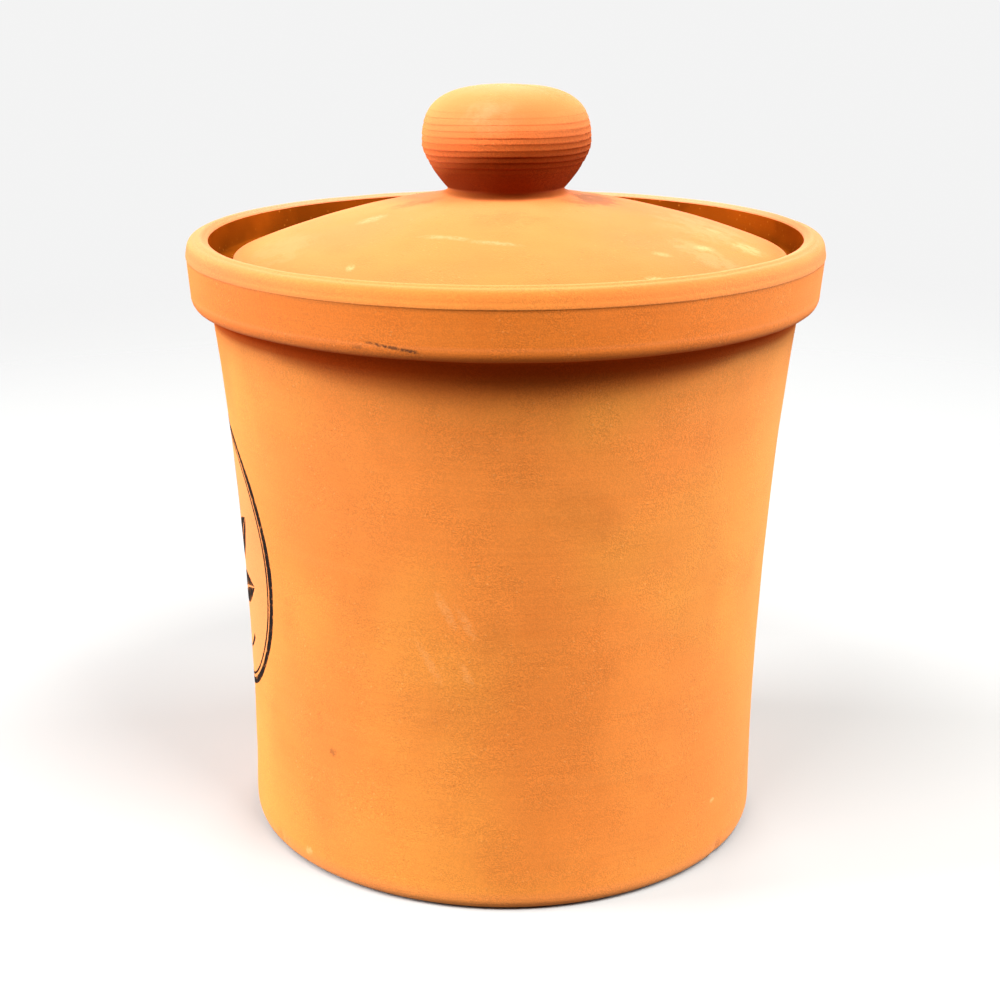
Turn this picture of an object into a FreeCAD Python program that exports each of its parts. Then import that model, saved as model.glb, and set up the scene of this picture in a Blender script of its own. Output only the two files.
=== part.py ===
"""A turned terracotta tea canister: a jar with a collar band and a lid with a ball knob.

The jar and the lid are one solid each. The lid lies in the gallery, the shallow recess inside
the lip, and rests on its floor, which is called the seat. Units are millimetres, +Z is up, and
the origin is the middle of the underside of the jar. Both pieces are turned shapes: each is half
a section in the XZ plane, carried round a vertical axis.
"""

import FreeCAD, Part
import math
import os

# Jar, overall.
jar_height = 135.4            # from the underside to the edge of the lip's top
lip_radius = 70.1             # at the ridge of the lip, the widest place

# Wall of the jar: narrowest at the waist, flaring to the shoulder under the collar.
waist_radius = 58.75
waist_height = 19.5
shoulder_inset = 5.0          # from the lip's ridge in to the wall under the collar
foot_round = 3.2              # rounded edge round the underside

# Collar band under the lip.
collar_depth = 14.1           # from the top of the lip down to the lower edge of the band
collar_round_width = 2.4      # rounded lower edge of the band
collar_round_height = 2.9
collar_low_inset = 0.75       # face of the band above that round, in from the lip's ridge
collar_top_inset = 0.15       # top of the band, in from the lip's ridge
groove_depth = 0.45           # fine groove between band and lip
groove_height = 0.5
groove_drop = 3.6             # from the top of the lip down to the lower side of the groove

# Lip.
lip_ridge_height = 0.9        # ridge above the groove
lip_hollow = 0.3              # hollow of the lip's side, in from the ridge
lip_round = 1.5               # outer edge of the lip's top
lip_crown = 0.4               # how far the lip's top is drawn up between its edges
lip_inner_round = 0.7
lip_width = 4.7               # from the ridge in to the gallery's mouth

# Gallery, the recess that takes the lid.
gallery_depth = 5.6           # from the top of the lip down to the seat
gallery_taper = 1.0           # the gallery wall leans in by this much going down

# Lid.
lid_clearance = 3.2           # gap between the lid's edge and the foot of the gallery wall
lid_shift = 0.7               # the lid lies a little towards +X, by less than its clearance
lid_bevel = 0.3               # broken edge round the lid's underside
lid_upright = 0.9             # top of the upright part of the lid's edge, above the seat
lid_edge_round = 1.2          # width of the round between the upright edge and the dome
dome_start = 2.0              # start of the dome, above the seat
dome_outer_slope = 0.40
dome_inner_slope = 0.17
dome_turn = 0.52              # share of the dome's width that has the gentler slope

# Knob. Its lower half tapers to the neck, and a flare joins the neck to the dome.
knob_radius = 18.5
knob_crown_reach = 12.6       # from the widest place up to the crown
knob_crown_power = 2.88       # squareness of the upper half, where 2 is an ellipse
knob_taper_reach = 18.5       # how far down the lower half would run to a point
knob_taper_power = 1.37
neck_drop = 9.2               # from the widest place down to the neck
flare_rise = 2.8              # from the dome up to the neck
flare_spread = 7.2            # from the neck out to the dome

# Turning rings round the knob.
ring_count = 10
ring_pitch = 1.32
ring_bulge = 0.13
ring_start = 3.9              # first ring, above the neck
crown_spans = 8               # spans of the curve over the crown

# Places that follow from the sizes above.
collar_bottom = jar_height - collar_depth
groove_bottom = jar_height - groove_drop
groove_top = groove_bottom + groove_height
shoulder_radius = lip_radius - shoulder_inset
mouth_radius = lip_radius - lip_width
seat_radius = mouth_radius - gallery_taper
seat_height = jar_height - gallery_depth
lid_radius = seat_radius - lid_clearance
wall_flare = (shoulder_radius - waist_radius) / (collar_bottom - waist_height) ** 2


class Outline:
    """Half a section in the XZ plane, drawn from point to point as (radius, height)."""

    def __init__(self, start):
        """Start the outline at a point."""
        self.edges = []
        self.here = start

    def _add(self, curve, end):
        """Keep one curve and move to its end."""
        self.edges.append(curve.toShape())
        self.here = end

    def line(self, end):
        """Draw a straight run."""
        self._add(Part.LineSegment(place(self.here), place(end)), end)

    def bend(self, corner, end):
        """Draw a curve that leaves towards the corner and arrives from it."""
        curve = Part.BezierCurve()
        curve.setPoles([place(self.here), place(corner), place(end)])
        self._add(curve, end)

    def bulge(self, end, amount):
        """Draw an arc that stands out from the straight run by an amount, to its right."""
        run = (end[0] - self.here[0], end[1] - self.here[1])
        length = math.hypot(run[0], run[1])
        middle = along(self.here, end, 0.5)
        top = (middle[0] + run[1] / length * amount, middle[1] - run[0] / length * amount)
        self._add(Part.Arc(place(self.here), place(top), place(end)), end)

    def through(self, points):
        """Draw one smooth curve through points."""
        curve = Part.BSplineCurve()
        curve.interpolate([place(point) for point in [self.here] + points])
        self._add(curve, points[-1])

    def turn(self):
        """Carry the closed outline round the Z axis."""
        face = Part.Face(Part.Wire(self.edges))
        return face.revolve(FreeCAD.Vector(0, 0, 0), FreeCAD.Vector(0, 0, 1), 360)


def place(point):
    """Put a (radius, height) pair in the XZ plane."""
    return FreeCAD.Vector(point[0], 0, point[1])


def along(first, second, share):
    """Find the point at a share of the way between two points."""
    return tuple(a + (b - a) * share for a, b in zip(first, second))


def spread(low, high, count):
    """Give evenly spaced values after the low one, ending at the high one."""
    return [low + (high - low) * step / count for step in range(1, count + 1)]


def crossing(first, first_slope, second, second_slope):
    """Find where two straight lines of known slope (height per radius) cross."""
    gap = (second[1] - second_slope * second[0]) - (first[1] - first_slope * first[0])
    radius = gap / (first_slope - second_slope)
    return (radius, first[1] + first_slope * (radius - first[0]))


def wall_radius(height):
    """Give the wall's radius at a height, a parabola that is narrowest at the waist."""
    return waist_radius + wall_flare * (height - waist_height) ** 2


def draw_wall(outline):
    """Draw the foot's round and the wall up to the shoulder, a parabola that is one bend."""
    foot = wall_radius(0.0)
    outline.line((foot - foot_round, 0.0))
    outline.bend((foot, 0.0), (wall_radius(foot_round), foot_round))
    half = (collar_bottom - foot_round) / 2.0
    slope = 2.0 * wall_flare * (foot_round - waist_height)
    corner = (wall_radius(foot_round) + slope * half, foot_round + half)
    outline.bend(corner, (shoulder_radius, collar_bottom))


def draw_collar(outline):
    """Draw the band: its underside, rounded lower edge, leaning face and the groove above."""
    low_radius = lip_radius - collar_low_inset
    band_top = (lip_radius - collar_top_inset, groove_bottom)
    outline.line((low_radius - collar_round_width, collar_bottom))
    outline.bend((low_radius, collar_bottom), (low_radius, collar_bottom + collar_round_height))
    outline.line(band_top)
    outline.line((band_top[0] - groove_depth, groove_bottom))
    outline.line((band_top[0] - groove_depth, groove_top))


def draw_lip(outline):
    """Draw the lip: its ridge, hollow side, rounded edges and slightly crowned top."""
    hollow = lip_radius - lip_hollow
    ridge = (lip_radius, groove_top + lip_ridge_height / 2.0)
    inner = mouth_radius + lip_inner_round
    outline.line((hollow, groove_top))
    outline.bend((lip_radius, groove_top), ridge)
    outline.bend((lip_radius, groove_top + lip_ridge_height), (hollow, ridge[1] + lip_ridge_height))
    outline.line((hollow, jar_height - lip_round))
    outline.bend((hollow, jar_height), (hollow - lip_round, jar_height))
    crown = ((hollow - lip_round + inner) / 2.0, jar_height + 2.0 * lip_crown)
    outline.bend(crown, (inner, jar_height))
    outline.bend((mouth_radius, jar_height), (mouth_radius, jar_height - lip_inner_round))


def make_jar():
    """Make the jar: foot, flaring wall, collar, lip and gallery, closed over by the seat."""
    outline = Outline((0.0, 0.0))
    draw_wall(outline)
    draw_collar(outline)
    draw_lip(outline)
    outline.line((seat_radius, seat_height))
    outline.line((0.0, seat_height))
    outline.line((0.0, 0.0))
    return outline.turn()


def knob_outline(rise):
    """Give the knob's radius at a rise above its widest place.

    Both halves are superellipses: the lower one tapers, and the upper one is squarish.
    """
    reach = knob_crown_reach if rise > 0 else knob_taper_reach
    power = knob_crown_power if rise > 0 else knob_taper_power
    share = min(abs(rise) / reach, 1.0)
    return knob_radius * (1.0 - share ** power) ** (1.0 / power)


def neck_slope():
    """Give the knob's slope (height per radius) just above the neck."""
    step = 0.01
    return step / (knob_outline(step - neck_drop) - knob_outline(-neck_drop))


def draw_edge(outline):
    """Draw the lid's edge up to the start of the dome."""
    dome = (lid_radius - lid_edge_round, seat_height + dome_start)
    outline.line((lid_radius - lid_bevel, seat_height))
    outline.line((lid_radius, seat_height + lid_bevel))
    outline.line((lid_radius, seat_height + lid_upright))
    outline.bend((lid_radius, dome[1] - dome_outer_slope * lid_edge_round), dome)


def draw_dome(outline):
    """Draw the dome, steeper towards its edge, in to the foot of the flare."""
    edge = outline.here
    foot_radius = knob_outline(-neck_drop) + flare_spread
    turn_radius = foot_radius + dome_turn * (edge[0] - foot_radius)
    turn = (turn_radius, edge[1] + dome_outer_slope * (edge[0] - turn_radius))
    foot_height = turn[1] + dome_inner_slope * (turn_radius - foot_radius)
    outline.bend(turn, (foot_radius, foot_height))


def draw_knob(outline):
    """Draw the flare, the turning rings and the crown of the knob."""
    foot = outline.here
    widest = foot[1] + flare_rise + neck_drop
    neck = (knob_outline(-neck_drop), foot[1] + flare_rise)
    outline.bend(crossing(foot, -dome_inner_slope, neck, neck_slope()), neck)

    def reach(rise):
        """Give the knob's outline point at a rise above the widest place."""
        return (knob_outline(rise), widest + rise)

    first = ring_start - neck_drop
    outline.through([reach(rise) for rise in spread(-neck_drop, first, 2)])
    for ring in range(1, ring_count + 1):
        outline.bulge(reach(first + ring * ring_pitch), ring_bulge)
    last = first + ring_count * ring_pitch
    turns = spread(0.0, math.pi / 2.0, crown_spans)
    outline.through([reach(last + (knob_crown_reach - last) * math.sin(turn)) for turn in turns])


def make_lid():
    """Make the lid and its knob, turned in one piece and set down a little off centre."""
    outline = Outline((0.0, seat_height))
    draw_edge(outline)
    draw_dome(outline)
    draw_knob(outline)
    outline.line((0.0, seat_height))
    lid = outline.turn()
    lid.translate(FreeCAD.Vector(lid_shift, 0, 0))
    return lid


def main():
    """Make each piece and write it to its own file."""
    os.makedirs("parts", exist_ok=True)
    pieces = {"jar": make_jar(), "lid": make_lid()}
    for name, shape in pieces.items():
        solid = shape.Solids[0]
        solid.exportStep("parts/" + name + ".step")
        print(name, "valid", solid.isValid(), "litres", round(solid.Volume / 1.0e6, 4))


main()
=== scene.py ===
"""Looks of a terracotta tea canister: a turned jar, its lid with a ball knob, and a printed oval.

Each piece is a surface worked out from named sizes. The jar and the lid are half sections carried
round the upright axis, with the small unevenness of hand finishing added along their normals. The
print lies on the wall of the jar. Lengths are metres throughout, in the frame of the model.
"""
import logging
import math
from collections.abc import Callable
from dataclasses import dataclass, field
from enum import Enum

import bpy
import numpy as np
from mathutils import Euler, Matrix, Vector


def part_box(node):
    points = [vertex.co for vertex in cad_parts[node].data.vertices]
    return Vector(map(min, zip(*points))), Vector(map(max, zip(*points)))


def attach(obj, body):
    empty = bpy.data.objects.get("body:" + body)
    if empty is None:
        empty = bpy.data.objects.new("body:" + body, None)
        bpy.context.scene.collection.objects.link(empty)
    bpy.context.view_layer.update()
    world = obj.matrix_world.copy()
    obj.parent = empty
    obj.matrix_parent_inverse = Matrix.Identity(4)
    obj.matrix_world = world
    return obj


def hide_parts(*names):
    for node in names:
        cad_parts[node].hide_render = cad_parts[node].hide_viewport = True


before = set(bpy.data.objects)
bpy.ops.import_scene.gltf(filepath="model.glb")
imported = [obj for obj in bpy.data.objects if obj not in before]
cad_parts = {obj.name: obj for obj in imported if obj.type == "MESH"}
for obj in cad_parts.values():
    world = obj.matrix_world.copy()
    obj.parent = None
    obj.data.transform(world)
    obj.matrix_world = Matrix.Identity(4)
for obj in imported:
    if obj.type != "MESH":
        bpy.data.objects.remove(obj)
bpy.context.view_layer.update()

MM = 0.001
TURN = 2.0 * math.pi
CALM_RADIUS = 3.0 * MM
LOG = logging.getLogger("canister")

Colour = tuple[float, float, float]
Point = tuple[float, float, float]
Range = tuple[float, float]


class Zone(Enum):
    """Stretches of a half section, from which masks for the finish are made."""

    UNDERSIDE = 0
    FOOT = 1
    WALL = 2
    COLLAR = 3
    STEP = 4
    LIP = 5
    GALLERY = 6
    SEAT = 7
    EDGE = 8
    DOME = 9
    KNOB = 10


# ---------------------------------------------------------------- shapes


class Section:
    """Half a section, drawn from point to point as (radius, height) and sampled on the way."""

    def __init__(self, start: tuple[float, float]) -> None:
        """Start the section at a point, normally on the axis."""
        self._points = [np.array([start])]
        self._zones = [np.array([Zone.UNDERSIDE.value])]

    def _add(self, points: np.ndarray, zone: Zone) -> None:
        """Keep points after the present one."""
        self._points.append(points)
        self._zones.append(np.full(len(points), zone.value))

    @property
    def here(self) -> np.ndarray:
        """The last point drawn."""
        return self._points[-1][-1]

    def line(self, end: tuple[float, float], count: int, zone: Zone) -> None:
        """Draw a straight run: start + (end - start) t, for t in equal steps."""
        step = np.linspace(0.0, 1.0, count + 1)[1:, None]
        self._add(self.here + (np.array(end) - self.here) * step, zone)

    def bend(self, corner: tuple[float, float], end: tuple[float, float], count: int,
             zone: Zone) -> None:
        """Draw a curve that leaves towards a corner and arrives from it.

        The curve is the quadratic Bezier (1 - t)^2 start + 2 t (1 - t) corner + t^2 end.

        Args:
            corner: Where the two end tangents meet.
            end: The last point of the curve.
            count: How many points are kept.
            zone: The stretch that the points belong to.
        """
        t = np.linspace(0.0, 1.0, count + 1)[1:, None]
        start = self.here
        points = (1 - t) ** 2 * start + 2 * t * (1 - t) * np.array(corner) + t ** 2 * np.array(end)
        self._add(points, zone)

    def follow(self, points: np.ndarray, zone: Zone) -> None:
        """Draw through points that a formula has given."""
        self._add(points, zone)

    def arrays(self) -> tuple[np.ndarray, np.ndarray]:
        """Give all the points and their zones."""
        return np.concatenate(self._points), np.concatenate(self._zones)


@dataclass(frozen=True)
class Ripple:
    """Gentle unevenness: a sum of waves that close on themselves round the axis.

    height(angle, along) = size / sqrt(count) * sum of sin(m angle + k along + phase), with m whole
    numbers up to turns and k up to 2 pi / wavelength.
    """

    size: float
    turns: int
    wavelength: float
    seed: int
    count: int = 14

    def height(self, angle: np.ndarray, along: np.ndarray) -> np.ndarray:
        """Give the height of the surface over its plain form.

        Args:
            angle: Angles round the axis.
            along: Lengths along the section, the same shape or one that broadcasts with angle.

        Returns:
            Heights in metres.
        """
        draw = np.random.default_rng(self.seed)
        around = draw.integers(0, self.turns + 1, self.count)
        rate = draw.uniform(-1.0, 1.0, self.count) * TURN / self.wavelength
        phase = draw.uniform(0.0, TURN, self.count)
        total = np.zeros(np.broadcast(angle, along).shape)
        for m, k, p in zip(around, rate, phase):
            total += np.sin(m * angle + k * along + p)
        return self.size / math.sqrt(self.count) * total


def smooth_step(low: float, high: float, value: np.ndarray) -> np.ndarray:
    """Rise from 0 at low to 1 at high as 3 t^2 - 2 t^3."""
    t = np.clip((value - low) / (high - low), 0.0, 1.0)
    return t * t * (3.0 - 2.0 * t)


def rise_and_fall(value: np.ndarray, up: Range, down: Range) -> np.ndarray:
    """Rise smoothly from 0 to 1 over one range, and fall back to 0 over another."""
    return smooth_step(*up, value) * (1.0 - smooth_step(*down, value))


def full_turn(segments: int) -> np.ndarray:
    """Give the angles of equal steps round a full turn, as a row."""
    return np.linspace(0.0, TURN, segments, endpoint=False)[None, :]


def on(zones: np.ndarray, *chosen: Zone) -> np.ndarray:
    """Mark the section points that lie in the chosen zones with 1, as a column."""
    return np.isin(zones, [zone.value for zone in chosen]).astype(float)[:, None]


def level_round(numbers: tuple[float, ...], right: np.ndarray) -> np.ndarray:
    """Give a + b right + c right^2 in millimetres, where right is the cosine of the angle."""
    return MM * np.polynomial.polynomial.polyval(right, numbers)


def spread_masks(masks: dict[str, np.ndarray], segments: int) -> dict[str, np.ndarray]:
    """Lay masks over a closed turning: one value at each pole and a full row elsewhere.

    Args:
        masks: For each name, one value or one row of values for each section point.
        segments: How many steps the full turn takes.

    Returns:
        For each name, one value for each vertex of the skin.
    """
    layers = {}
    for name, values in masks.items():
        rows = np.broadcast_to(values.reshape(len(values), -1), (len(values), segments))
        layers[name] = np.concatenate([rows[0, :1], rows[1:-1].ravel(), rows[-1, :1]])
    return layers


def turned_grid(points: np.ndarray, segments: int,
                relief: Callable[[np.ndarray, np.ndarray, np.ndarray], np.ndarray]) -> np.ndarray:
    """Carry a half section round the Z axis.

    A point of the surface is (r cos a, r sin a, z), where (r, z) is the section's point moved
    along the section's own normal by the relief at that angle and length along the section. The
    relief fades out close to the axis.

    Args:
        points: The section, from axis to axis, as rows of (radius, height).
        segments: How many steps the full turn takes.
        relief: Gives the outward height from angle, length along and height above the base.

    Returns:
        An array of rows by segments by 3.
    """
    run = np.diff(points, axis=0)
    along = np.concatenate([[0.0], np.cumsum(np.hypot(run[:, 0], run[:, 1]))])
    tangent = np.gradient(points, along, axis=0)
    tangent /= np.linalg.norm(tangent, axis=1)[:, None]
    angle = full_turn(segments)
    rise = relief(angle, along[:, None], points[:, 1][:, None])
    rise *= smooth_step(0.0, CALM_RADIUS, points[:, 0])[:, None]
    radius = points[:, 0][:, None] + tangent[:, 1][:, None] * rise
    height = points[:, 1][:, None] - tangent[:, 0][:, None] * rise
    return np.stack([radius * np.cos(angle), radius * np.sin(angle), height], axis=-1)


def closed_turning(grid: np.ndarray) -> tuple[np.ndarray, np.ndarray, np.ndarray]:
    """Join a turned grid into one closed skin with a single point at each pole.

    Args:
        grid: Rows by segments by 3, whose first and last rows lie on the axis.

    Returns:
        Points, quads and pole triangles, all facing outwards.
    """
    rows, segments = grid.shape[:2]
    inner = grid[1:-1].reshape(-1, 3)
    points = np.concatenate([grid[:1, 0], inner, grid[-1:, 0]])
    column = np.arange(segments)
    beside = (column + 1) % segments
    first = 1 + np.arange(rows - 3)[:, None] * segments
    quads = np.stack([first + column, first + beside, first + segments + beside,
                      first + segments + column], axis=-1).reshape(-1, 4)
    last = len(points) - 1
    top = 1 + (rows - 3) * segments
    start_fan = np.stack([np.zeros_like(column), 1 + beside, 1 + column], axis=-1)
    end_fan = np.stack([top + column, top + beside, np.full_like(column, last)], axis=-1)
    return points, quads, np.concatenate([start_fan, end_fan])


def ribbon(track: np.ndarray, half_width: np.ndarray, closed: bool) -> np.ndarray:
    """Widen a flat track into a strip of three points across.

    Args:
        track: Rows of (sideways, upwards) along the middle of the strip.
        half_width: Half the strip's width at each row.
        closed: True where the last row meets the first.

    Returns:
        An array of rows by 3 by 2: left edge, middle and right edge.
    """
    if closed:
        run = np.roll(track, -1, axis=0) - np.roll(track, 1, axis=0)
    else:
        run = np.gradient(track, axis=0)
    run = run / np.linalg.norm(run, axis=1)[:, None]
    side = np.stack([-run[:, 1], run[:, 0]], axis=-1) * half_width[:, None]
    return np.stack([track + side, track, track - side], axis=1)


def slab_faces(rows: int, across: int, closed: bool, offset: int) -> np.ndarray:
    """Give the quads of a thin closed slab whose upper and lower skins are the same grid.

    Args:
        rows: Points along the slab.
        across: Points across it.
        closed: True where the last row meets the first.
        offset: Index of the slab's first point. The lower skin follows the upper one.

    Returns:
        Quads that face outwards.
    """
    low = rows * across
    spans = rows if closed else rows - 1
    here = np.arange(spans)
    ahead = (here + 1) % rows
    lane = np.arange(across - 1)[None, :]
    a = here[:, None] * across + lane
    b = ahead[:, None] * across + lane
    upper = np.stack([a, a + 1, b + 1, b], axis=-1).reshape(-1, 4)
    lower = np.stack([a, b, b + 1, a + 1], axis=-1).reshape(-1, 4) + low
    left, left_ahead = here * across, ahead * across
    right, right_ahead = left + across - 1, left_ahead + across - 1
    walls = [np.stack([left, left_ahead, left_ahead + low, left + low], axis=-1),
             np.stack([right, right + low, right_ahead + low, right_ahead], axis=-1)]
    if not closed:
        cross = np.arange(across - 1)
        end = (rows - 1) * across + cross
        walls.append(np.stack([cross, cross + low, cross + 1 + low, cross + 1], axis=-1))
        walls.append(np.stack([end, end + 1, end + 1 + low, end + low], axis=-1))
    return np.concatenate([upper, lower] + walls) + offset


def make_object(name: str, points: np.ndarray, polygons: list[np.ndarray],
                layers: dict[str, np.ndarray]) -> bpy.types.Object:
    """Put computed points and faces into a new object at the origin.

    Args:
        name: The piece's name.
        points: Rows of x, y, z.
        polygons: Arrays of faces, each array with faces of one size.
        layers: Named numbers, one for each point, that the finish reads.

    Returns:
        The linked object, shaded smooth.
    """
    mesh = bpy.data.meshes.new(name)
    sizes = np.concatenate([np.full(len(group), group.shape[1]) for group in polygons])
    corners = np.concatenate([group.ravel() for group in polygons])
    mesh.vertices.add(len(points))
    mesh.vertices.foreach_set("co", points.astype(np.float32).ravel())
    mesh.loops.add(len(corners))
    mesh.loops.foreach_set("vertex_index", corners.astype(np.int32))
    mesh.polygons.add(len(sizes))
    starts = np.concatenate([[0], np.cumsum(sizes)[:-1]])
    mesh.polygons.foreach_set("loop_start", starts.astype(np.int32))
    mesh.polygons.foreach_set("use_smooth", np.ones(len(sizes), bool))
    for layer, values in layers.items():
        attribute = mesh.attributes.new(layer, "FLOAT", "POINT")
        attribute.data.foreach_set("value", values.astype(np.float32))
    mesh.update(calc_edges=True)
    mesh.validate()
    piece = bpy.data.objects.new(name, mesh)
    bpy.context.scene.collection.objects.link(piece)
    return piece


def make_turning(name: str, grid: np.ndarray, masks: dict[str, np.ndarray]) -> bpy.types.Object:
    """Make a turned grid into one closed object.

    Args:
        name: The piece's name.
        grid: Rows by segments by 3, whose first and last rows lie on the axis.
        masks: For each name, one value or one row of values for each row of the grid.

    Returns:
        The linked object.
    """
    skin, quads, fans = closed_turning(grid)
    return make_object(name, skin, [quads, fans], spread_masks(masks, grid.shape[1]))


# ---------------------------------------------------------------- finishes


class Sheet:
    """A node tree under construction, with short ways to add and join nodes."""

    def __init__(self, tree: bpy.types.NodeTree) -> None:
        """Work on a tree."""
        self.tree = tree

    def add(self, kind: str, inputs: dict[str | int, object] | None = None,
            **settings: object) -> bpy.types.Node:
        """Add a node.

        Args:
            kind: The node's type name without its ShaderNode prefix.
            inputs: Values or output sockets for the node's inputs, by name or number.
            **settings: The node's own properties.

        Returns:
            The new node.
        """
        node = self.tree.nodes.new("ShaderNode" + kind)
        for key, value in settings.items():
            setattr(node, key, value)
        for key, value in (inputs or {}).items():
            self.feed(node, key, value)
        return node

    def feed(self, node: bpy.types.Node, key: str | int, value: object) -> None:
        """Link an output socket to an input, or set the input's value.

        Args:
            node: The node that is fed.
            key: The input's name or number.
            value: An output socket, or a value to set.
        """
        if isinstance(value, bpy.types.NodeSocket):
            self.tree.links.new(value, node.inputs[key])
        else:
            node.inputs[key].default_value = value

    def math(self, operation: str, *values: object, clamp: bool = False) -> bpy.types.NodeSocket:
        """Add a Math node and give its result."""
        node = self.add("Math", dict(enumerate(values)), operation=operation, use_clamp=clamp)
        return node.outputs[0]

    def noise(self, vector: bpy.types.NodeSocket, scale: float | bpy.types.NodeSocket,
              detail: float = 3.0, roughness: float = 0.5,
              distortion: float = 0.0) -> bpy.types.NodeSocket:
        """Add a noise texture and give its value."""
        node = self.add("TexNoise", {"Vector": vector, "Scale": scale, "Detail": detail,
                                     "Roughness": roughness, "Distortion": distortion})
        return node.outputs["Fac"]

    def cells(self, vector: bpy.types.NodeSocket, scale: float) -> bpy.types.NodeSocket:
        """Add scattered cells and give the distance to the nearest cell's middle."""
        node = self.add("TexVoronoi", {"Vector": vector, "Scale": scale, "Randomness": 1.0},
                        feature="F1")
        return node.outputs["Distance"]

    def ramp(self, value: bpy.types.NodeSocket, low: float, high: float, start: float = 0.0,
             end: float = 1.0) -> bpy.types.NodeSocket:
        """Map a range smoothly onto start to end and give the result."""
        node = self.add("MapRange", {"Value": value, "From Min": low, "From Max": high,
                                     "To Min": start, "To Max": end},
                        interpolation_type="SMOOTHSTEP")
        return node.outputs["Result"]

    def mix(self, share: object, first: object, second: object) -> bpy.types.NodeSocket:
        """Mix two colours.

        Args:
            share: How much of the second colour is taken.
            first: A colour or its socket.
            second: A colour or its socket.

        Returns:
            The mixed colour.
        """
        node = self.add("Mix", data_type="RGBA")
        for key, value in ((0, share), (6, first), (7, second)):
            self.feed(node, key, value)
        return node.outputs[2]

    def attribute(self, name: str) -> bpy.types.NodeSocket:
        """Read a number that the mesh carries at each point."""
        return self.add("Attribute", attribute_name=name).outputs["Fac"]

    def stretched(self, vector: object, scale: Point) -> bpy.types.NodeSocket:
        """Scale coordinates with a Mapping node."""
        return self.add("Mapping", {"Vector": vector, "Scale": scale}).outputs[0]

    def group(self, tree: bpy.types.NodeTree, inputs: dict[str, object]) -> bpy.types.Node:
        """Place a node group.

        Args:
            tree: The group.
            inputs: Values or output sockets for its inputs, by name.

        Returns:
            The node that holds the group.
        """
        node = self.tree.nodes.new("ShaderNodeGroup")
        node.node_tree = tree
        for key, value in inputs.items():
            self.feed(node, key, value)
        return node


class Socket(Enum):
    """Kinds of group socket."""

    NUMBER = "NodeSocketFloat"
    VECTOR = "NodeSocketVector"


def new_group(name: str, inputs: dict[str, tuple[Socket, object]],
              outputs: tuple[str, ...]) -> tuple[Sheet, bpy.types.Node, bpy.types.Node]:
    """Start a shader node group with named sockets.

    Args:
        name: The group's name.
        inputs: Each input's kind and default.
        outputs: The outputs' names. All of them are numbers.

    Returns:
        The group's sheet, its input node and its output node.
    """
    tree = bpy.data.node_groups.new(name, "ShaderNodeTree")
    for key, (kind, default) in inputs.items():
        socket = tree.interface.new_socket(key, in_out="INPUT", socket_type=kind.value)
        if default is not None:
            socket.default_value = default
    for key in outputs:
        tree.interface.new_socket(key, in_out="OUTPUT", socket_type=Socket.NUMBER.value)
    return Sheet(tree), tree.nodes.new("NodeGroupInput"), tree.nodes.new("NodeGroupOutput")


@dataclass(frozen=True)
class Grain:
    """The sandy grain of fired clay: fine speckle, scattered grit and a height for relief.

    Scales are waves or cells for each metre, and each range is where a mask rises or falls.
    """

    speckle_scale: float = 3300.0
    medium_scale: float = 1500.0
    medium_share: float = 0.3
    speckle_range: Range = (0.36, 0.64)
    least_speckle: float = 0.45
    presence_scale: float = 110.0
    presence_range: Range = (0.38, 0.66)
    pale_scale: float = 560.0
    pale_range: Range = (0.2, 0.06)
    pale_height: float = 0.8
    dark_scale: float = 380.0
    dark_range: Range = (0.17, 0.05)
    dark_squash: float = 1.3
    grit_share: float = 0.5

    def build(self) -> bpy.types.NodeTree:
        """Build the node group.

        Returns:
            The group.
        """
        sheet, source, sink = new_group(
            "sandy_grain",
            {"Place": (Socket.VECTOR, None), "Speckle Scale": (Socket.NUMBER, self.speckle_scale),
             "Grit Share": (Socket.NUMBER, self.grit_share)},
            ("Speckle", "Pale Grit", "Dark Grit", "Height"))
        place, amount = source.outputs["Place"], source.outputs["Grit Share"]
        fine = sheet.noise(place, source.outputs["Speckle Scale"], detail=2.0, roughness=0.6)
        medium = sheet.noise(place, self.medium_scale, detail=2.0, roughness=0.6)
        both = sheet.math("ADD", sheet.math("MULTIPLY", fine, 1.0 - self.medium_share),
                          sheet.math("MULTIPLY", medium, self.medium_share))
        presence = sheet.ramp(sheet.noise(place, self.presence_scale), *self.presence_range)
        share = sheet.ramp(presence, 0.0, 1.0, self.least_speckle, 1.0)
        signed = sheet.math("SUBTRACT", sheet.ramp(both, *self.speckle_range), 0.5)
        speckle = sheet.math("ADD", sheet.math("MULTIPLY", signed, share), 0.5)
        squashed = sheet.stretched(place, (1.0, 1.0, self.dark_squash))
        pale = sheet.ramp(sheet.cells(place, self.pale_scale), *self.pale_range)
        dark = sheet.ramp(sheet.cells(squashed, self.dark_scale), *self.dark_range)
        pale = sheet.math("MULTIPLY", pale, presence)
        dark = sheet.math("MULTIPLY", dark, presence)
        height = sheet.math("ADD", speckle, sheet.math("MULTIPLY", pale, self.pale_height))
        for key, value in (("Speckle", speckle), ("Height", height),
                           ("Pale Grit", sheet.math("MULTIPLY", pale, amount)),
                           ("Dark Grit", sheet.math("MULTIPLY", dark, amount))):
            sheet.feed(sink, key, value)
        return sheet.tree


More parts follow.
